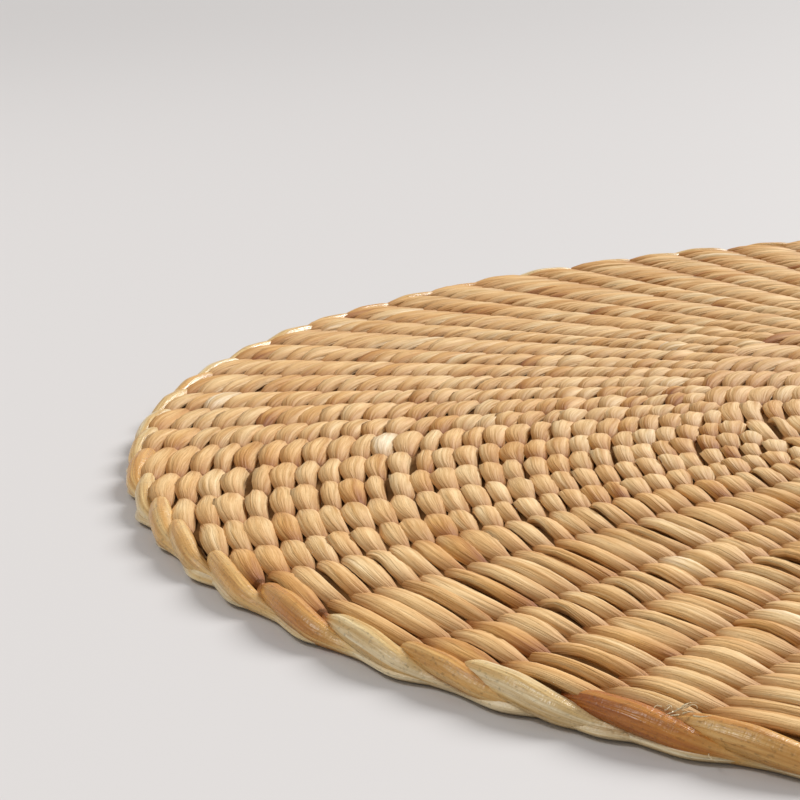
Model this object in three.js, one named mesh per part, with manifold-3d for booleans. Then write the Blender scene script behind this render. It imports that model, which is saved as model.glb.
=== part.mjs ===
// Round placemat of twined water hyacinth, lying flat on its underside.
// Millimetres, +Z up, origin at the centre of the underside.
// Pairs of flat strands are twined in rounds over radial spokes, which raises a rib over
// each spoke. The spoke ends are laid over one another round the rim as a rope border.
import * as THREE from "three";
import { mergeVertices } from "three/addons/utils/BufferGeometryUtils.js";
import Module from "manifold-3d";

// Driving dimensions
const MAT_DIAMETER = 380;
const MAT_THICKNESS = 5;
const SPOKES = 72; // ribs that reach the rim
const RIB_DEPTH = 1.4; // from a rib's crest down to the crevice beside it
const CREST_UNEVENNESS = 0.4; // how much the hand-twined crests differ in height
const RIB_PHASE = 2.4; // radians of the unevenness from one rib to the next
const RING_PHASE = 1.7; // and from one ring to the next
const BORDER_WIDTH = 6.4; // of the rope border, seen from above
const BORDER_HEIGHT = 4.8;
const STEM_RELIEF = 0.7; // how far a border stem stands above the groove beside it
const STEM_LEAD = 3; // spoke pitches that a border stem travels in one turn round the rope
const CENTRE_RADIUS = 9; // the flat knot where the twining starts
const FIELD_OVERLAP = 3.6; // how far inside the rope's middle circle the top face dips under it
const FIELD_SHOULDER = 10; // and how far inside that circle it is at full height again

// Mesh fineness
const STEPS_PER_RIB = 4;
const ROPE_SIDES = 8;
const MERGE_GAP = 1e-4; // points closer than this are one

// Sizes that follow
const MAT_RADIUS = MAT_DIAMETER / 2;
const STEPS = SPOKES * STEPS_PER_RIB;
const ROPE_RADIUS = MAT_RADIUS - BORDER_WIDTH / 2; // the circle down the middle of the rope
const ROPE_LEVEL = BORDER_HEIGHT / 2;

// Rings of the top face, from the rim to the centre. Spokes are doubled twice on the way out,
// so the count of ribs halves twice on the way in. fall is how far the ring lies below full height.
const FIELD_RINGS = [
  { radius: ROPE_RADIUS - FIELD_OVERLAP, ribs: SPOKES, fall: 0.9 },
  { radius: ROPE_RADIUS - FIELD_SHOULDER, ribs: SPOKES, fall: 0 },
  { radius: 130, ribs: SPOKES, fall: 0 },
  { radius: 86, ribs: SPOKES, fall: 0 },
  { radius: 79, ribs: SPOKES / 2, fall: 0 },
  { radius: 44, ribs: SPOKES / 2, fall: 0 },
  { radius: 38, ribs: SPOKES / 4, fall: 0 },
  { radius: 19, ribs: SPOKES / 4, fall: 0 },
];

const wasm = await Module();
wasm.setup();

// A closed geometry as a solid that can be joined.
function solidOf(geometry) {
  const bare = new THREE.BufferGeometry();
  bare.setAttribute("position", geometry.getAttribute("position"));
  bare.setIndex(geometry.index);
  const merged = mergeVertices(bare, MERGE_GAP);
  return new wasm.Manifold(
    new wasm.Mesh({
      numProp: 3,
      vertProperties: merged.getAttribute("position").array,
      triVerts: new Uint32Array(merged.index.array),
    }),
  );
}

// A joined solid as a geometry again.
function geometryOf(solid) {
  const { vertProperties, triVerts } = solid.getMesh();
  const geometry = new THREE.BufferGeometry();
  geometry.setAttribute("position", new THREE.BufferAttribute(vertProperties, 3));
  geometry.setIndex(new THREE.BufferAttribute(triVerts, 1));
  geometry.computeVertexNormals();
  return geometry;
}

// Height of a ring of ribs at one step round it: round crests with sharp crevices between.
function ribHeight(ring, ringNumber, step) {
  const along = (step * ring.ribs) / STEPS; // ribs passed since the +X axis
  const rib = Math.floor(along) % ring.ribs;
  const round = Math.abs(Math.sin(Math.PI * along));
  const phase = RIB_PHASE * rib + RING_PHASE * ringNumber;
  const uneven = CREST_UNEVENNESS * (0.5 + 0.5 * Math.sin(phase));
  return MAT_THICKNESS - ring.fall - RIB_DEPTH + round * (RIB_DEPTH - uneven);
}

// The twined field: a turned disc whose top rings are then raised into ribs.
function twinedField() {
  const topLevel = (ring) => MAT_THICKNESS - ring.fall;
  const profile = [
    new THREE.Vector2(0, 0),
    new THREE.Vector2(ROPE_RADIUS, 0),
    new THREE.Vector2(ROPE_RADIUS, ROPE_LEVEL),
    ...FIELD_RINGS.map((ring) => new THREE.Vector2(ring.radius, topLevel(ring))),
    new THREE.Vector2(CENTRE_RADIUS, MAT_THICKNESS),
    new THREE.Vector2(0, MAT_THICKNESS),
  ];
  const firstRing = 3; // the profile's points before the top rings
  const disc = new THREE.LatheGeometry(profile, STEPS);
  const points = disc.getAttribute("position");
  for (let step = 0; step <= STEPS; step++) {
    const angle = (2 * Math.PI * (step % STEPS)) / STEPS;
    profile.forEach((corner, i) => {
      const ring = FIELD_RINGS[i - firstRing];
      const z = ring ? ribHeight(ring, i, step % STEPS) : corner.y;
      const at = step * profile.length + i;
      points.setXYZ(at, corner.x * Math.cos(angle), corner.x * Math.sin(angle), z);
    });
  }
  return solidOf(disc);
}

// The rope border: a ring whose points are sheared along the stems, so that each stem runs from
// the inner top, over the rim and under, and is raised above the grooves on either side.
function ropeBorder() {
  const ring = new THREE.TorusGeometry(ROPE_RADIUS, ROPE_LEVEL, ROPE_SIDES, STEPS);
  const points = ring.getAttribute("position");
  const fineSteps = STEPS * ROPE_SIDES;
  const lead = STEM_LEAD * STEPS_PER_RIB; // steps that a stem travels in one turn
  for (let side = 0; side <= ROPE_SIDES; side++) {
    const turn = (2 * Math.PI * (side % ROPE_SIDES)) / ROPE_SIDES; // 0 faces outwards, a quarter turn up
    for (let step = 0; step <= STEPS; step++) {
      const fine = (step * ROPE_SIDES - side * lead + fineSteps) % fineSteps;
      const angle = (2 * Math.PI * fine) / fineSteps;
      const crest = Math.abs(Math.cos((Math.PI * step) / STEPS_PER_RIB));
      const sunk = STEM_RELIEF * (1 - crest);
      const r = ROPE_RADIUS + (BORDER_WIDTH / 2 - sunk) * Math.cos(turn);
      const z = ROPE_LEVEL + (BORDER_HEIGHT / 2 - sunk) * Math.sin(turn);
      const at = side * (STEPS + 1) + step;
      points.setXYZ(at, r * Math.cos(angle), r * Math.sin(angle), z);
    }
  }
  return solidOf(ring);
}

const dryHyacinth = new THREE.MeshStandardMaterial({
  color: new THREE.Color(0.71, 0.53, 0.32),
  roughness: 0.62,
  metalness: 0,
});

const placemat = new THREE.Mesh(geometryOf(twinedField().add(ropeBorder())), dryHyacinth);
placemat.name = "placemat";

const part = new THREE.Group();
part.name = "water_hyacinth_placemat";
part.add(placemat);

export default part;
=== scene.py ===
# %% [markdown]
# # A round placemat twined from water hyacinth
# The dried stems of the water hyacinth are split into soft flat strands. Two strands at a time
# are twined in rounds over radial spokes: at every spoke one strand passes above it and the other
# below, and between two spokes they change places. The stitches of all rounds stand in line, so
# each spoke raises a rib. At the rim the spokes themselves are bent over one another as a rope.
#
# This lesson builds that structure strand by strand, because the low view across the mat shows
# every stitch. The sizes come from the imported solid, which is 380 mm across and 5 mm thick.

# %% Load the frame and keep the solid's box
import math

import bmesh
import bpy
import numpy as np
from mathutils import Matrix, Vector


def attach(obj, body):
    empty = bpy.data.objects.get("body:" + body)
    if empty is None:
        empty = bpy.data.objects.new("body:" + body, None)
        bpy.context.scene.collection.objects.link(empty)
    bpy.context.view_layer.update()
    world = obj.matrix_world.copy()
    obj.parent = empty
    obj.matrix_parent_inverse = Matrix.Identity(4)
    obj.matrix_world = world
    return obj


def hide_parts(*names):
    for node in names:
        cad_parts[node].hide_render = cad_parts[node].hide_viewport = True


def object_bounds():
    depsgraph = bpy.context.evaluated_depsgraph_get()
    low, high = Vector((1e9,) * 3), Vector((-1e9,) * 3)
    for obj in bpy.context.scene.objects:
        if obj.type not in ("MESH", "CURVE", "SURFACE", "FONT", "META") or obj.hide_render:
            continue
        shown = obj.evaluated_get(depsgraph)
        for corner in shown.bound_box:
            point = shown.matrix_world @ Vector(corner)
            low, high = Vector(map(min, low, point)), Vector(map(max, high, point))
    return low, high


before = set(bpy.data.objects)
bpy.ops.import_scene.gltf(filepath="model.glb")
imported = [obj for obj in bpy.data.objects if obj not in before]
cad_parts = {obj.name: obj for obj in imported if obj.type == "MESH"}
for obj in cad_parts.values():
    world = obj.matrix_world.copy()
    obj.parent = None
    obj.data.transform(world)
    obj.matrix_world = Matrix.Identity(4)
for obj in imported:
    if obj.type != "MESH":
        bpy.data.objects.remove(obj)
cad_low, cad_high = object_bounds()
MAT_RADIUS = (cad_high[0] - cad_low[0]) / 2
MAT_THICKNESS = cad_high[2] - cad_low[2]
print(f"mat radius {MAT_RADIUS:.4f} m, thickness {MAT_THICKNESS:.4f} m")

# %% [markdown]
# ## Camera
# The camera is worked out from the photograph: the rim gives an ellipse, and the lines between the
# ribs have to meet at the mat's centre. Together they fix the lens, the height, the tilt and a
# small roll. All lengths are shares of the mat's radius, so the view holds at any size.

# %% Place the camera
CAMERA_LENS = 90.0  # mm, on a 36 mm sensor
CAMERA_SENSOR = 36.0
CAMERA_NEAR = 0.01
CAMERA_PLACE = Vector((-0.7387, -1.8796, 0.4653)) * MAT_RADIUS
CAMERA_DOWN = math.radians(12.797)
CAMERA_ROLL = math.radians(-2.774)


def placed(name, data):
    """A new object in the scene that shows data."""
    thing = bpy.data.objects.new(name, data)
    bpy.context.collection.objects.link(thing)
    return thing


camera_data = bpy.data.cameras.new("camera")
camera_data.lens = CAMERA_LENS
camera_data.sensor_width = CAMERA_SENSOR
camera_data.clip_start = CAMERA_NEAR
camera = placed("camera", camera_data)
camera_turn = Matrix.Rotation(math.pi / 2 - CAMERA_DOWN, 4, "X") @ Matrix.Rotation(CAMERA_ROLL, 4, "Z")
camera.matrix_world = Matrix.Translation(CAMERA_PLACE) @ camera_turn
bpy.context.scene.camera = camera
print("camera at", tuple(round(c, 4) for c in CAMERA_PLACE))

# %% [markdown]
# ## Grain of the dry stems
# A dry stem is covered in fine lines that run along it. Both the strands and the border stems have
# them, so they are one shader node group. It stretches a noise along the strand's own UV map, where
# U is the length in metres and V goes once round the strand. Each stitch has a seed that shifts the
# noise, so no two stitches have the same lines. The same group gives broad blotches of colour, fine
# creases across the skin and speckles, each of them a noise stretched in its own way.

# %% Build the grain group
WRINKLE_STRETCH = (2600.0, 9.0)  # fine creases across the skin: per metre along, and around
SPECKLE_STRETCH = (1300.0, 22.0)
GRAIN_INPUTS = (("UV", "NodeSocketVector"), ("Seed", "NodeSocketFloat"),
                ("Lines per Metre", "NodeSocketFloat"), ("Lines Around", "NodeSocketFloat"))
GRAIN_OUTPUTS = ("Lines", "Blotches", "Wrinkles", "Speckles")


def build_grain_group():
    group = bpy.data.node_groups.new("stem_grain", "ShaderNodeTree")
    for name, kind in GRAIN_INPUTS:
        group.interface.new_socket(name, in_out="INPUT", socket_type=kind)
    for name in GRAIN_OUTPUTS:
        group.interface.new_socket(name, in_out="OUTPUT", socket_type="NodeSocketFloat")
    nodes, links = group.nodes, group.links
    given = nodes.new("NodeGroupInput")
    result = nodes.new("NodeGroupOutput")
    lines_scale = nodes.new("ShaderNodeCombineXYZ")
    links.new(given.outputs["Lines per Metre"], lines_scale.inputs["X"])
    links.new(given.outputs["Lines Around"], lines_scale.inputs["Y"])

    def stretched_noise(scale, detail, roughness, along_around=None):
        """A noise on the UV map, shifted by the seed and stretched as the lines are, or as given."""
        stretch = nodes.new("ShaderNodeVectorMath")
        stretch.operation = "MULTIPLY"
        links.new(given.outputs["UV"], stretch.inputs[0])
        if along_around:
            stretch.inputs[1].default_value = (*along_around, 0)
        else:
            links.new(lines_scale.outputs[0], stretch.inputs[1])
        noise = nodes.new("ShaderNodeTexNoise")
        noise.noise_dimensions = "4D"
        noise.inputs["Scale"].default_value = scale
        noise.inputs["Detail"].default_value = detail
        noise.inputs["Roughness"].default_value = roughness
        links.new(stretch.outputs["Vector"], noise.inputs["Vector"])
        links.new(given.outputs["Seed"], noise.inputs["W"])
        return noise.outputs["Fac"]

    lines = stretched_noise(scale=1.0, detail=3.0, roughness=0.6)
    blotches = stretched_noise(scale=0.35, detail=2.0, roughness=0.5)
    wrinkles = stretched_noise(scale=1.0, detail=2.0, roughness=0.5, along_around=WRINKLE_STRETCH)
    speckles = stretched_noise(scale=1.0, detail=2.0, roughness=0.55, along_around=SPECKLE_STRETCH)
    for name, noise in zip(GRAIN_OUTPUTS, (lines, blotches, wrinkles, speckles)):
        links.new(noise, result.inputs[name])
    return group


grain_group = build_grain_group()
print("grain group with", len(grain_group.nodes), "nodes")

# %% [markdown]
# ## Helpers for the finishes
# A finish is a chain of small nodes: stretch a value, pick a colour, multiply one colour by
# another. Each helper makes one node, sets its constants, links what comes in and hands back what
# comes out, so that a finish reads as a list of steps rather than as a list of sockets.

# %% Write the node helpers
def new_finish(name):
    """A material with its node tree and its shader."""
    finish = bpy.data.materials.new(name)
    finish.use_nodes = True
    return finish, finish.node_tree, finish.node_tree.nodes["Principled BSDF"]


def mesh_value(tree, name):
    """A number that the mesh keeps at each of its points."""
    node = tree.nodes.new("ShaderNodeAttribute")
    node.attribute_name = name
    return node.outputs["Fac"]


def remapped(tree, value, low, high, to_low=0.0, to_high=1.0):
    """value, stretched so that low becomes to_low and high becomes to_high."""
    node = tree.nodes.new("ShaderNodeMapRange")
    for socket, limit in (("From Min", low), ("From Max", high), ("To Min", to_low), ("To Max", to_high)):
        node.inputs[socket].default_value = limit
    tree.links.new(value, node.inputs["Value"])
    return node.outputs["Result"]


def summed(tree, value, added, share=1.0):
    """value plus a share of what is added."""
    node = tree.nodes.new("ShaderNodeMath")
    node.operation = "MULTIPLY_ADD"
    node.inputs[1].default_value = share
    tree.links.new(added, node.inputs[0])
    tree.links.new(value, node.inputs[2])
    return node.outputs[0]


def mixed(tree, share, start, end):
    """The colour start where share is 0 and the colour end where it is 1."""
    node = tree.nodes.new("ShaderNodeMix")
    node.data_type = "RGBA"
    node.inputs["A"].default_value = start
    node.inputs["B"].default_value = end
    tree.links.new(share, node.inputs["Factor"])
    return node.outputs["Result"]


def multiplied(tree, colour, tint):
    node = tree.nodes.new("ShaderNodeVectorMath")
    node.operation = "MULTIPLY"
    tree.links.new(colour, node.inputs[0])
    tree.links.new(tint, node.inputs[1])
    return node.outputs["Vector"]


def toned(tree, tone, tones):
    """The colour of a tone, from pairs of a tone and its colour."""
    ramp = tree.nodes.new("ShaderNodeValToRGB")
    stops = ramp.color_ramp.elements
    stops.remove(stops[1])
    stops[0].color = (*tones[0][1], 1)
    for place, colour in tones[1:]:
        stops.new(place).color = (*colour, 1)
    tree.links.new(tone, ramp.inputs["Fac"])
    return ramp.outputs["Color"]


print("node helpers ready")

# %% [markdown]
# ## Finish of strands and stems
# Each stitch has a tone, kept on the mesh as an attribute, which picks its colour from red brown
# to pale straw. The depth attribute is 1 on a stitch's back and 0 where it dives into a crevice, and
# darkens the crevices a little with painted shade. The grain lines carry painted sheen on their pale
# side and painted shade on their dark side. The split strands are dull, while the border stems keep
# their smooth outer skin, so the two finishes differ in roughness and in how strong the lines are.

# %% Mix the colour of a stem
STRAND_TONES = ((0.0, (0.46, 0.195, 0.04)), (0.2, (0.65, 0.35, 0.095)), (0.5, (0.79, 0.51, 0.21)),
                (0.8, (0.85, 0.62, 0.305)), (1.0, (0.89, 0.74, 0.48)))
STEM_TONES = ((0.0, (0.36, 0.085, 0.006)), (0.25, (0.62, 0.25, 0.04)), (0.5, (0.78, 0.45, 0.13)),
              (0.8, (0.84, 0.61, 0.26)), (1.0, (0.92, 0.78, 0.48)))
# tints of the grain lines: the grain's own colour, with the dark lines browned further as painted shade and
# the pale ones whitened as painted sheen
DARK_LINE_AND_SHADE = (0.66, 0.52, 0.34, 1)
PALE_LINE_AND_SHEEN = (1.06, 1.08, 1.20, 1)
# painted shade: the colour a strand or stem is darkened towards where its depth value falls to 0
CREVICE_PAINTED_SHADE = (0.50, 0.27, 0.10, 1)
NO_TINT = (1, 1, 1, 1)
BLOTCH_RANGE = (0.3, 0.7)  # the part of each noise that is used
LINE_RANGE = (0.3, 0.68)
SPECKLE_RANGE = (0.30, 0.44)
BLOTCH_SHIFT = 0.2  # how far a blotch moves the tone, up or down


def stem_colour(tree, grain, tones, speckle):
    shift = remapped(tree, grain["Blotches"], *BLOTCH_RANGE, -BLOTCH_SHIFT, BLOTCH_SHIFT)
    colour = toned(tree, summed(tree, mesh_value(tree, "tone"), shift), tones)
    # grain lines, with painted shade on the dark side and painted sheen on the pale side
    lines = mixed(tree, remapped(tree, grain["Lines"], *LINE_RANGE), DARK_LINE_AND_SHADE, PALE_LINE_AND_SHEEN)
    spots = remapped(tree, grain["Speckles"], *SPECKLE_RANGE, to_low=1 - speckle)
    # painted crevice shade, stronger as the depth value falls
    painted_crevice_shade = mixed(tree, mesh_value(tree, "depth"), CREVICE_PAINTED_SHADE, NO_TINT)
    for tint in (lines, spots, painted_crevice_shade):
        colour = multiplied(tree, colour, tint)
    return colour


print(len(STRAND_TONES), "strand tones and", len(STEM_TONES), "stem tones")

# %% Build the two plant finishes
LINE_DEPTH = 0.0006


def stem_grain(tree, lines_per_metre, lines_around):
    """The grain group's outputs, on the strand's own UV map and shifted by the stitch's seed."""
    place = tree.nodes.new("ShaderNodeUVMap")
    place.uv_map = "strand"
    grain = tree.nodes.new("ShaderNodeGroup")
    grain.node_tree = grain_group
    grain.inputs["Lines per Metre"].default_value = lines_per_metre
    grain.inputs["Lines Around"].default_value = lines_around
    tree.links.new(place.outputs["UV"], grain.inputs["UV"])
    tree.links.new(mesh_value(tree, "seed"), grain.inputs["Seed"])
    return grain.outputs


def stem_material(name, tones, lines_per_metre, lines_around, dull, shiny, gloss, relief, speckle, wrinkle):
    finish, tree, skin = new_finish(name)
    grain = stem_grain(tree, lines_per_metre, lines_around)
    bump = tree.nodes.new("ShaderNodeBump")
    bump.inputs["Strength"].default_value = relief
    bump.inputs["Distance"].default_value = LINE_DEPTH
    creased = summed(tree, grain["Lines"], grain["Wrinkles"], share=wrinkle)
    tree.links.new(creased, bump.inputs["Height"])
    tree.links.new(stem_colour(tree, grain, tones, speckle), skin.inputs["Base Color"])
    tree.links.new(remapped(tree, grain["Lines"], 0, 1, dull, shiny), skin.inputs["Roughness"])
    tree.links.new(bump.outputs["Normal"], skin.inputs["Normal"])
    skin.inputs["Specular IOR Level"].default_value = gloss
    return finish


strand_finish = stem_material("split_strand", STRAND_TONES, lines_per_metre=70, lines_around=16, dull=0.75,
                              shiny=0.48, gloss=0.25, relief=0.9, speckle=0.10, wrinkle=0.0)
stem_finish = stem_material("border_stem", STEM_TONES, lines_per_metre=90, lines_around=20, dull=0.40,
                            shiny=0.18, gloss=0.5, relief=0.45, speckle=0.30, wrinkle=0.35)
print("finishes:", strand_finish.name, stem_finish.name)

# %% [markdown]
# ## Tubes from arrays
# There are over four thousand stitches on the two faces, so they are made as joined meshes from
# arrays rather than one by one. A strand is a line of middle points with a half width and a half
# thickness at each. Round every point stands the same small section, and neighbouring sections are
# joined by quads. The section is a flat oval whose points stand in and out by turns, which pleats
# the strand along its length as the dried stem is. A closed strand joins its last section to its
# first, and an open one ends in a single face at each end.

# %% Write the tube helpers
SECTION_SIDES = 12
SECTION_ANGLES = 2 * np.pi * np.arange(SECTION_SIDES) / SECTION_SIDES


def unit(vectors):
    """vectors, each made one long."""
    return vectors / np.linalg.norm(vectors, axis=1, keepdims=True)


def section_points(middles, widths, heights, tilts, pleats, closed):
    """The points of all sections, which stand upright on the strand, turned by tilts."""
    if closed:
        ahead = unit(np.roll(middles, -1, axis=0) - np.roll(middles, 1, axis=0))
    else:
        ahead = unit(np.gradient(middles, axis=0))
    outward = unit(middles * (1, 1, 0))
    outward = unit(outward - ahead * np.sum(outward * ahead, axis=1, keepdims=True))
    upward = np.cross(outward, ahead)
    sideways = outward * np.cos(tilts)[:, None] + upward * np.sin(tilts)[:, None]
    upright = upward * np.cos(tilts)[:, None] - outward * np.sin(tilts)[:, None]
    folds = 1 - pleats[:, None] * (np.arange(SECTION_SIDES) % 2)
    across = widths[:, None] * np.cos(SECTION_ANGLES) * folds
    above = heights[:, None] * np.sin(SECTION_ANGLES) * folds
    points = middles[:, None] + across[..., None] * sideways[:, None] + above[..., None] * upright[:, None]
    return points.reshape(-1, 3)


def section_quads(middles, closed):
    """The quads between neighbouring sections, and the UV place of each of their corners."""
    count = len(middles)
    rows = np.arange(count if closed else count - 1)
    row, side = (grid.ravel() for grid in np.meshgrid(rows, np.arange(SECTION_SIDES), indexing="ij"))
    next_row, next_side = (row + 1) % count, (side + 1) % SECTION_SIDES
    quads = np.stack([row * SECTION_SIDES + side, row * SECTION_SIDES + next_side,
                      next_row * SECTION_SIDES + next_side, next_row * SECTION_SIDES + side], axis=1)
    steps = np.linalg.norm(np.diff(middles, axis=0, append=middles[:1]), axis=1)
    length = np.concatenate([[0], np.cumsum(steps)])
    u = np.stack([length[row], length[row], length[row + 1], length[row + 1]], axis=1)
    v = np.stack([side, side + 1, side + 1, side], axis=1) / SECTION_SIDES
    return quads, np.stack([u, v], axis=2).reshape(-1, 2)


print("sections of", SECTION_SIDES, "points")

# %% Write the joining helpers
KEPT_VALUES = ("tone", "depth", "seed")  # numbers that the finishes read from the mesh


def mesh_from_arrays(name, points, quads, places, caps):
    """A mesh of quads with their UV places, and of caps that each close a whole section."""
    corners = np.concatenate([quads.ravel(), *caps]).astype(np.int32)
    sizes = np.concatenate([np.full(len(quads), 4), np.full(len(caps), SECTION_SIDES)])
    starts = np.concatenate([[0], np.cumsum(sizes)[:-1]]).astype(np.int32)
    mesh = bpy.data.meshes.new(name)
    mesh.vertices.add(len(points))
    mesh.vertices.foreach_set("co", points.astype(np.float32).ravel())
    mesh.loops.add(len(corners))
    mesh.loops.foreach_set("vertex_index", corners)
    mesh.polygons.add(len(starts))
    mesh.polygons.foreach_set("loop_start", starts)
    mesh.update(calc_edges=True)
    uv = np.zeros((len(corners), 2), np.float32)
    uv[:len(places)] = places
    mesh.uv_layers.new(name="strand").data.foreach_set("uv", uv.ravel())
    return mesh


def join_strands(name, strands, finish):
    """One mesh object from strands, each a dict of arrays with one value per middle point."""
    points, quads, places, caps = [], [], [], []
    start = 0
    for strand in strands:
        middles, closed = strand["middles"], strand["closed"]
        own_quads, own_places = section_quads(middles, closed)
        points.append(section_points(middles, strand["widths"], strand["heights"], strand["tilts"],
                                     strand["pleats"], closed))
        quads.append(own_quads + start)
        places.append(own_places)
        first = start + np.arange(SECTION_SIDES)
        start += len(points[-1])
        if not closed:
            caps += [first[::-1], first + len(points[-1]) - SECTION_SIDES]
    mesh = mesh_from_arrays(name, np.concatenate(points), np.concatenate(quads), np.concatenate(places), caps)
    for value in KEPT_VALUES:
        values = np.concatenate([np.repeat(strand[value + "s"], SECTION_SIDES) for strand in strands])
        kept = mesh.attributes.new(value, "FLOAT", "POINT")
        kept.data.foreach_set("value", values.astype(np.float32))
    mesh.shade_smooth()
    mesh.materials.append(finish)
    mesh.validate()
    mesh.calc_loop_triangles()
    print(name, len(strands), "strands,", len(mesh.loop_triangles), "triangles")
    return placed(name, mesh)


print("values kept on the mesh:", *KEPT_VALUES)

# %% [markdown]
# ## The twined field
# A round is a circle of stitches. Along it, one strand rises over a spoke while its partner dips
# below, and at each crevice they swap. On the top a stitch starts near the centre's side of the
# round and ends on the rim's side, so it lies slightly aslant and laps over the next round. Hand
# work is never even, so each stitch gets its own width, height, tilt and tone from a fixed seed.
# Towards the centre the spokes would crowd, so their number halves twice.

# %% Set the sizes of the rounds
MM_PER_M = 1000
SPOKES = 72
ROUND_PITCH = 0.0208 * MAT_RADIUS
LAST_ROUND = 0.9670 * MAT_RADIUS  # the outermost round, against the border
ROUND_COUNT = 46
MIDDLE_ZONE = 0.43 * MAT_RADIUS  # half the spokes end here
INNER_ZONE = 0.215 * MAT_RADIUS  # and half of the rest here
KNOT_ZONE = 0.05 * MAT_RADIUS
KNOT_SPOKES = 8
MID_HEIGHT = MAT_THICKNESS / 2
STRAND_HALF_HEIGHT = 0.19 * MAT_THICKNESS
END_SWELL = 0.1  # share by which a strand is thicker where it dives
RISE = MID_HEIGHT - STRAND_HALF_HEIGHT
UNDER_RISE = 0.9  # of the rise on top, so that no stitch lies lower than the table
SLANT = 0.43 * ROUND_PITCH  # how far a stitch's ends lie to either side of its round
END_HALF_WIDTH = 0.15 * ROUND_PITCH
BACK_HALF_WIDTH = 0.45 * ROUND_PITCH  # added to that on a stitch's back
TOP_REACH = 1.24  # spoke pitches that a stitch takes up on top, so its ends interlock with the next ribs
DIVE = 1.2  # over 1 moves a stitch's hump towards its far end
TOP_TAPER = 0.6  # a lower value makes a stitch fuller towards its ends
UNDER_TAPER = 0.2
HUMP_TAPER = 0.2  # added to the taper for the stitch's rise and dive
TOP_STEPS = 9
UNDER_STEPS = 5


def spokes_at(radius):
    if radius > MIDDLE_ZONE:
        return SPOKES
    if radius > INNER_ZONE:
        return SPOKES // 2
    return SPOKES // 4 if radius > KNOT_ZONE else KNOT_SPOKES


print(f"rounds {ROUND_PITCH * MM_PER_M:.2f} mm apart, spokes from {SPOKES} to {KNOT_SPOKES}")

# %% Set how uneven the handwork is
WIDTH_SPREAD = 0.16
MOST_SUNK = 0.22  # share of the rise
TILT = 0.20  # radians
TILT_SPREAD = 0.14
STRAY_SPREAD = 0.08  # round pitches to the side
PLEAT_LIMITS = (0.06, 0.26)
STAINED_SHARE = 0.30  # of the stitches are red brown towards their far end
STAIN_LIMITS = (0.15, 0.5)  # tone that a stain takes away
STAIN_FADE = 1.3
ROUND_TONE = 0.56
ROUND_TONE_SPREAD = 0.05
STITCH_TONE_SPREAD = 0.10
TONE_LIMITS = (0.02, 0.98)
SEED_RANGE = 60.0
CREVICE_UNEVENNESS = 0.5  # degrees
# No spoke lies quite in its place. The crevices that the low front view shows, by number, are off
# by these degrees, and the rest by chance.
FRONT_CREVICES = {42: -0.78, 43: -0.73, 44: 1.14, 45: 0.26, 46: 0.07, 47: -0.94}

rng = np.random.default_rng(72)
crevice_shift = rng.normal(0.0, CREVICE_UNEVENNESS, SPOKES)
for crevice, degrees in FRONT_CREVICES.items():
    crevice_shift[crevice] = degrees
crevice_shift = np.radians(crevice_shift)
print("widest shift of a crevice", round(float(np.degrees(np.abs(crevice_shift).max())), 2), "degrees")


# %% Shape one strand of a round
def strand_spans(spokes, on_top_first):
    """For each point of a strand: its span, how far along that it is, and 1 on top or -1 below."""
    parts = []
    for span in range(spokes):
        on_top = (span % 2 == 0) == on_top_first
        steps = TOP_STEPS if on_top else UNDER_STEPS
        u = (1 - np.cos(np.pi * np.arange(steps) / steps)) / 2  # closer together near the ends
        parts.append(np.stack([np.full(steps, span), u, np.full(steps, 1.0 if on_top else -1.0)], axis=1))
    span, u, side = np.concatenate(parts).T
    return span.astype(int), u, side


def twined_strand(radius, spokes, on_top_first, round_tone):
    """One of the two strands of a round. Even spans are on top if on_top_first, odd ones if not."""
    span, u, side = strand_spans(spokes, on_top_first)
    width_jitter = rng.normal(1.0, WIDTH_SPREAD, spokes)[span]
    rise_jitter = rng.uniform(-MOST_SUNK, 0.0, spokes)[span]
    tilt_jitter = rng.normal(TILT, TILT_SPREAD, spokes)[span]
    stray = rng.normal(0.0, STRAY_SPREAD, spokes)[span] * ROUND_PITCH
    pleat_jitter = rng.uniform(*PLEAT_LIMITS, spokes)[span]
    stain = rng.uniform(*STAIN_LIMITS, spokes) * (rng.random(spokes) < STAINED_SHARE)
    stitch_tone = (round_tone + rng.normal(0.0, STITCH_TONE_SPREAD, spokes))[span]
    reach = np.where(side > 0, TOP_REACH, 2 - TOP_REACH)  # one over and one under take two pitches
    rise = np.where(side > 0, RISE, -UNDER_RISE * RISE)
    taper = np.where(side > 0, TOP_TAPER, UNDER_TAPER)
    back = np.sin(np.pi * u)
    hump = np.sin(np.pi * u ** DIVE) ** (taper + HUMP_TAPER)  # rises gently and dives steeply
    place = span + 0.5 + (u - 0.5) * reach  # in spokes passed
    shift = np.interp(place * SPOKES / spokes, np.arange(SPOKES), crevice_shift, period=SPOKES)
    angle = 2 * np.pi * place / spokes + shift
    r = radius - SLANT * np.cos(np.pi * u) * side + stray * back
    z = MID_HEIGHT + rise * hump * (1 + rise_jitter * back)
    return {
        "middles": np.stack([r * np.cos(angle), r * np.sin(angle), z], axis=1),
        "widths": END_HALF_WIDTH + BACK_HALF_WIDTH * back ** taper * width_jitter,
        "heights": STRAND_HALF_HEIGHT * (1 + END_SWELL * (1 - back)),
        "tilts": tilt_jitter * back * (side > 0),
        "pleats": pleat_jitter * back,
        "tones": np.clip(stitch_tone - stain[span] * u ** STAIN_FADE, *TONE_LIMITS),
        "seeds": rng.uniform(0, SEED_RANGE, spokes)[span],
        # the depth value sets the painted crevice shade along the stitch
        "depths": back ** taper,
        "closed": True,
    }


print("a stitch has", TOP_STEPS, "sections on top and", UNDER_STEPS, "below")

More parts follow.
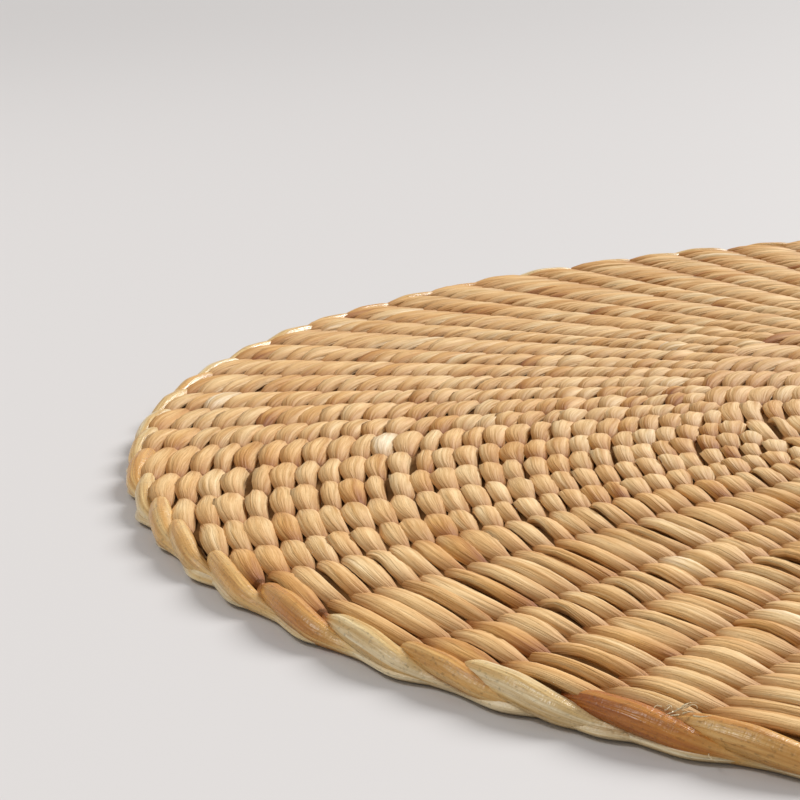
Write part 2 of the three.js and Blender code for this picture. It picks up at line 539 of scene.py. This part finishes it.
# %% Twine the rounds in pieces of a few rounds each
ROUNDS_PER_PIECE = 7
field_pieces = []
field_strands = []
for number in range(ROUND_COUNT):
    radius = LAST_ROUND - number * ROUND_PITCH
    round_tone = ROUND_TONE + rng.normal(0.0, ROUND_TONE_SPREAD)
    for on_top_first in (True, False):
        field_strands.append(twined_strand(radius, spokes_at(radius), on_top_first, round_tone))
    if (number + 1) % ROUNDS_PER_PIECE == 0 or number == ROUND_COUNT - 1:
        piece_name = f"twined_rounds_{len(field_pieces) + 1}"
        field_pieces.append(join_strands(piece_name, field_strands, strand_finish))
        field_strands = []
print("innermost round at", round(radius * MM_PER_M, 1), "mm")

# %% [markdown]
# ## The rope border
# Every spoke is bent over at the rim and laid over its neighbours. Its end comes out from under
# the last round on top, runs aslant over the rim and goes under the next stem. A stem is thickest
# where it shows most and thins where it is tucked in. Its end, underneath, is split and pressed
# flat, so the pale inside shows along the table below the next stem.

# %% Set the course of a border stem
STEM_RADIUS = 0.0088 * MAT_RADIUS
STEM_RADIUS_SPREAD = 0.05
STEM_STEPS = 54
STEM_TONE = 0.66
STEM_TONE_SPREAD = 0.15
STEM_TONE_LIMITS = (0.1, 0.95)
STEM_STRAY = 0.1  # spoke pitches off its place
PALE_TONE = 0.97
SKIN_PLEAT = 0.02
SPLIT_PLEAT = 0.10  # added to that where the stem is split
# TUCKED_DEPTH and TUCKED_FADE put painted shade where a stem comes out from under the last round
TUCKED_DEPTH = 0.3  # the depth value where a stem comes out
TUCKED_FADE = 4  # how fast it grows to 1, per spoke pitch
CORNER_PASSES = 4
# A stem's course, in spoke pitches from where it comes out: how far its middle lies inside the
# rim and above the table, its half width and half height as shares of STEM_RADIUS, and how split
# and pale it is. Lengths are in millimetres.
STEM_COURSE = np.array([
    # pitch, inside, above, width, height, pale
    (-0.15, 5.0, 2.4, 0.50, 0.50, 0.0),
    (0.10, 4.0, 3.1, 0.90, 0.90, 0.0),
    (0.55, 2.8, 3.0, 1.12, 1.12, 0.0),
    (1.00, 2.0, 1.9, 0.98, 0.95, 0.0),
    (1.25, 2.7, 1.1, 0.70, 0.55, 0.3),
    (1.55, 3.2, 0.92, 0.90, 0.50, 1.0),
    (2.05, 1.9, 0.88, 1.10, 0.46, 1.0),
    (2.55, 4.2, 0.85, 0.80, 0.40, 1.0),
    (2.70, 5.2, 0.85, 0.40, 0.30, 1.0),
])
# The stems that the low front view shows, by number: tone, and how many pitches off its place.
FRONT_STEMS = {42: (0.30, 0.16), 43: (0.80, 0.22), 44: (0.50, 0.10), 45: (0.84, -0.22), 46: (0.10, -0.17),
               47: (0.48, -0.30)}
print("a stem runs over", STEM_COURSE[-1, 0] - STEM_COURSE[0, 0], "spoke pitches")


# %% Lay the border stems
def eased(values):
    """values with their corners rounded, the ends kept."""
    for _ in range(CORNER_PASSES):
        values = np.concatenate([values[:1], (values[:-2] + 2 * values[1:-1] + values[2:]) / 4, values[-1:]])
    return values


def border_stem(number):
    chance_tone = np.clip(rng.normal(STEM_TONE, STEM_TONE_SPREAD), *STEM_TONE_LIMITS)
    chance_shift = rng.normal(0, STEM_STRAY)
    tone, shift = FRONT_STEMS.get(number, (chance_tone, chance_shift))
    pitches = STEM_COURSE[:, 0]
    t = np.linspace(pitches[0], pitches[-1], STEM_STEPS)
    columns = STEM_COURSE[:, 1:].T
    inside, above, width, height, pale = (eased(np.interp(t, pitches, column)) for column in columns)
    size = STEM_RADIUS * rng.normal(1.0, STEM_RADIUS_SPREAD)
    angle = 2 * math.pi / SPOKES * (number + shift + t)
    r = MAT_RADIUS - inside / MM_PER_M
    z = np.maximum(above / MM_PER_M, size * height)  # no lower than the table
    return {
        "middles": np.stack([r * np.cos(angle), r * np.sin(angle), z], axis=1),
        "widths": size * width,
        "heights": size * height,
        "tilts": np.zeros(STEM_STEPS),
        "pleats": SKIN_PLEAT + SPLIT_PLEAT * pale,
        "tones": tone + (PALE_TONE - tone) * pale,
        "seeds": np.full(STEM_STEPS, rng.uniform(0, SEED_RANGE)),
        # painted shade where the stem comes out, fading along it
        "depths": np.clip(TUCKED_DEPTH + TUCKED_FADE * (t - pitches[0]), 0, 1),
        "closed": False,
    }


border = join_strands("rope_border", [border_stem(number) for number in range(SPOKES)], stem_finish)

# %% [markdown]
# ## The knot at the centre
# The twining starts from a small coil of one strand on each face. A spiral with a flat section
# makes it: the radius falls evenly while the strand goes round.

# %% Coil the knot
KNOT_RADIUS = 0.026 * MAT_RADIUS
KNOT_FALL = 0.93  # share of the radius lost by the end
KNOT_TURNS = 2.4
KNOT_STEPS = 60
KNOT_HALF_WIDTH = 0.0058 * MAT_RADIUS
KNOT_RISE = 0.9 * RISE
KNOT_PLEAT = 0.12
KNOT_TONE = 0.6
KNOT_SEED = 5.0


def knot_coil(height):
    t = np.linspace(0, 1, KNOT_STEPS)
    angle = 2 * math.pi * KNOT_TURNS * t
    r = KNOT_RADIUS * (1 - KNOT_FALL * t)
    return {
        "middles": np.stack([r * np.cos(angle), r * np.sin(angle), np.full(KNOT_STEPS, height)], axis=1),
        "widths": np.full(KNOT_STEPS, KNOT_HALF_WIDTH),
        "heights": np.full(KNOT_STEPS, STRAND_HALF_HEIGHT),
        "tilts": np.zeros(KNOT_STEPS),
        "pleats": np.full(KNOT_STEPS, KNOT_PLEAT),
        "tones": np.full(KNOT_STEPS, KNOT_TONE),
        "seeds": np.full(KNOT_STEPS, KNOT_SEED),
        "depths": np.ones(KNOT_STEPS),
        "closed": False,
    }


knot_heights = (MID_HEIGHT + KNOT_RISE, MID_HEIGHT - KNOT_RISE)
knot = join_strands("centre_knot", [knot_coil(height) for height in knot_heights], strand_finish)

# %% [markdown]
# ## Frayed fibres
# Dry stems shed fine fibres. A tuft of them stands where one border stem comes out, and a single
# hair hangs from the rim beside it. They are thin tubes that curl away from the surface.

# %% Set the fibres
TUFT_ANGLE = math.radians(233.2)
TUFT_ANGLE_SPREAD = 0.006
TUFT_RADIUS = 0.985 * MAT_RADIUS
TUFT_RADIUS_SPREAD = 0.0008
TUFT_HEIGHT = 0.94 * MAT_THICKNESS
TUFT_LENGTHS = (0.001, 0.0028)
TUFT_FIBRES = 12
HAIR_ANGLE = math.radians(234.9)
HAIR_RADIUS = 0.994 * MAT_RADIUS
HAIR_HEIGHT = 0.3 * MAT_THICKNESS
HAIR_LENGTH = 0.003
FIBRE_RADIUS = 0.00009
FIBRE_STEPS = 7
FIBRE_ROOT = 1.2  # of the radius, at the root
FIBRE_CURL = 2.0  # radians at most
FIBRE_CLIMB = (-0.2, 0.9)
FIBRE_DROOP = 1.3


def fibre(angle, radius, height, length):
    t = np.linspace(0, 1, FIBRE_STEPS)
    heading = rng.uniform(0, 2 * math.pi)
    heading = heading + rng.uniform(-FIBRE_CURL, FIBRE_CURL) * t
    climb = rng.uniform(*FIBRE_CLIMB) * (1 - FIBRE_DROOP * t)
    ahead = np.stack([np.cos(heading), np.sin(heading), climb], axis=1)
    start = np.array([radius * math.cos(angle), radius * math.sin(angle), height])
    return {
        "middles": start + np.cumsum(ahead, axis=0) * length / FIBRE_STEPS,
        "widths": FIBRE_RADIUS * (FIBRE_ROOT - t),
        "heights": FIBRE_RADIUS * (FIBRE_ROOT - t),
        "tilts": np.zeros(FIBRE_STEPS),
        "pleats": np.zeros(FIBRE_STEPS),
        "tones": np.ones(FIBRE_STEPS),
        "seeds": np.zeros(FIBRE_STEPS),
        "depths": np.ones(FIBRE_STEPS),
        "closed": False,
    }


fibres = [fibre(HAIR_ANGLE, HAIR_RADIUS, HAIR_HEIGHT, HAIR_LENGTH)]
for _ in range(TUFT_FIBRES):
    root_angle = TUFT_ANGLE + rng.normal(0, TUFT_ANGLE_SPREAD)
    root_radius = TUFT_RADIUS + rng.normal(0, TUFT_RADIUS_SPREAD)
    fibres.append(fibre(root_angle, root_radius, TUFT_HEIGHT, rng.uniform(*TUFT_LENGTHS)))
fray = join_strands("frayed_fibres", fibres, stem_finish)

# %% [markdown]
# ## The spokes inside
# The spokes lie between the upper and lower strands and show only as darkness in the crevices. A
# thin disc with a low ridge for each spoke stands for them, and its dark brown colour is partly the
# spokes' own and partly painted shade for the crevices. It is spun from a flat profile, and its
# ridges are raised by moving the points, so it stays one closed sheet.

# %% Make the web of spokes
WEB_RADIUS = 0.975 * MAT_RADIUS
WEB_HALF_HEIGHT = 0.09 * MAT_THICKNESS
SPOKE_RIDGE = 0.08 * MAT_THICKNESS
CENTRE_RIDGE = 0.5  # of SPOKE_RIDGE, where the web is even
WEB_RINGS = 12
STEPS_PER_SPOKE = 6


def ridge_at(point):
    """How far up its ridge a point of the web lies, from 0 to 1."""
    if point.xy.length > INNER_ZONE:
        return abs(math.sin(SPOKES / 2 * math.atan2(point.y, point.x)))
    return CENTRE_RIDGE


def spoke_web():
    shape = bmesh.new()
    profile = [shape.verts.new((WEB_RADIUS * i / WEB_RINGS, 0, MID_HEIGHT)) for i in range(1, WEB_RINGS + 1)]
    edges = [shape.edges.new(pair) for pair in zip(profile, profile[1:])]
    bmesh.ops.spin(shape, geom=profile + edges, cent=(0, 0, 0), axis=(0, 0, 1), angle=2 * math.pi,
                   steps=SPOKES * STEPS_PER_SPOKE, use_merge=True)
    hole = [e for e in shape.edges if e.is_boundary and e.verts[0].co.xy.length < WEB_RADIUS / 2]
    bmesh.ops.holes_fill(shape, edges=hole)
    bmesh.ops.recalc_face_normals(shape, faces=shape.faces)
    bmesh.ops.solidify(shape, geom=shape.faces, thickness=2 * WEB_HALF_HEIGHT)
    middle = sum(v.co.z for v in shape.verts) / len(shape.verts)
    for v in shape.verts:
        away = 1 if v.co.z > middle else -1
        v.co.z = MID_HEIGHT + away * (WEB_HALF_HEIGHT + SPOKE_RIDGE * ridge_at(v.co))
    bmesh.ops.recalc_face_normals(shape, faces=shape.faces)
    mesh = bpy.data.meshes.new("spoke_web")
    shape.to_mesh(mesh)
    shape.free()
    mesh.shade_smooth()
    return placed("spoke_web", mesh)


web = spoke_web()
print("web of spokes with", len(web.data.polygons), "faces")

# %% Give the web its dark brown finish, partly painted crevice shade
# dark brown tones, partly the spokes' colour and partly painted shade for the crevices
CORE_SHADE_TONES = ((0.0, (0.08, 0.035, 0.010)), (1.0, (0.26, 0.13, 0.045)))
CORE_NOISE_SCALE = 400
CORE_ROUGHNESS = 0.9
CORE_GLOSS = 0.05

web_finish, web_tree, web_skin = new_finish("spoke_core")
web_place = web_tree.nodes.new("ShaderNodeTexCoord")
web_noise = web_tree.nodes.new("ShaderNodeTexNoise")
web_noise.inputs["Scale"].default_value = CORE_NOISE_SCALE
web_tree.links.new(web_place.outputs["Object"], web_noise.inputs["Vector"])
web_shade_colour = toned(web_tree, web_noise.outputs["Fac"], CORE_SHADE_TONES)
web_tree.links.new(web_shade_colour, web_skin.inputs["Base Color"])
web_skin.inputs["Roughness"].default_value = CORE_ROUGHNESS
web_skin.inputs["Specular IOR Level"].default_value = CORE_GLOSS
web.data.materials.append(web_finish)
print("web finish:", web_finish.name)

# %% [markdown]
# All pieces lie still on one body. The web of spokes is the mat's sheet, and the rounds, the border,
# the knot and the fibres go with it. Together they replace the plain solid, which stays in the scene, hidden.

# %% Tie the pieces to the frame
on_web = [*field_pieces, border, knot, fray]
for piece in [web, *on_web]:
    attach(piece, "root")
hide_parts("placemat")
print("pieces:", [piece.name for piece in [web, *on_web]])

# %% [markdown]
# ## Floor and light
# A wide pale floor, soft light from the back right and an even sky give a bright plain picture with
# a soft shadow at the near edge of the mat. A small panel at the left is there for what it does to
# the shiny border stems: its reflection runs along each of them as a narrow highlight.

# %% Set the stage
FLOOR_HALF_SIZE = 12.0
FLOOR_COLOUR = (0.615, 0.592, 0.582, 1)
FLOOR_ROUGHNESS = 0.6

floor_shape = bmesh.new()
bmesh.ops.create_grid(floor_shape, x_segments=1, y_segments=1, size=FLOOR_HALF_SIZE)
floor_mesh = bpy.data.meshes.new("floor")
floor_shape.to_mesh(floor_mesh)
floor_shape.free()
floor = placed("floor", floor_mesh)
floor_finish, _, floor_skin = new_finish("pale_floor")
floor_skin.inputs["Base Color"].default_value = FLOOR_COLOUR
floor_skin.inputs["Roughness"].default_value = FLOOR_ROUGHNESS
floor_mesh.materials.append(floor_finish)
print("floor", 2 * FLOOR_HALF_SIZE, "m wide")

# %% Hang the lights
SUN_FROM = Vector((0.60, 0.65, 0.62))
SUN_STRENGTH = 3.4
SUN_SOFTNESS = math.radians(28)
PANEL_PLACE = Vector((-1.1, 0.0, 1.35))
PANEL_SIZE = 0.34
PANEL_POWER = 7.0
SKY_COLOUR = (1.0, 0.985, 0.97, 1)
SKY_STRENGTH = 0.40

sun_data = bpy.data.lights.new("window", "SUN")
sun_data.energy = SUN_STRENGTH
sun_data.angle = SUN_SOFTNESS
sun = placed("window", sun_data)
sun.rotation_euler = (-SUN_FROM).to_track_quat("-Z", "Y").to_euler()
panel_data = bpy.data.lights.new("left_panel", "AREA")
panel_data.size = PANEL_SIZE
panel_data.energy = PANEL_POWER
panel = placed("left_panel", panel_data)
panel.location = PANEL_PLACE
panel.rotation_euler = (-PANEL_PLACE).to_track_quat("-Z", "Y").to_euler()
world = bpy.data.worlds.new("studio")
world.use_nodes = True
sky = world.node_tree.nodes["Background"]
sky.inputs["Color"].default_value = SKY_COLOUR
sky.inputs["Strength"].default_value = SKY_STRENGTH
bpy.context.scene.world = world
bpy.context.scene.view_settings.view_transform = "Standard"
print("light from", tuple(SUN_FROM))
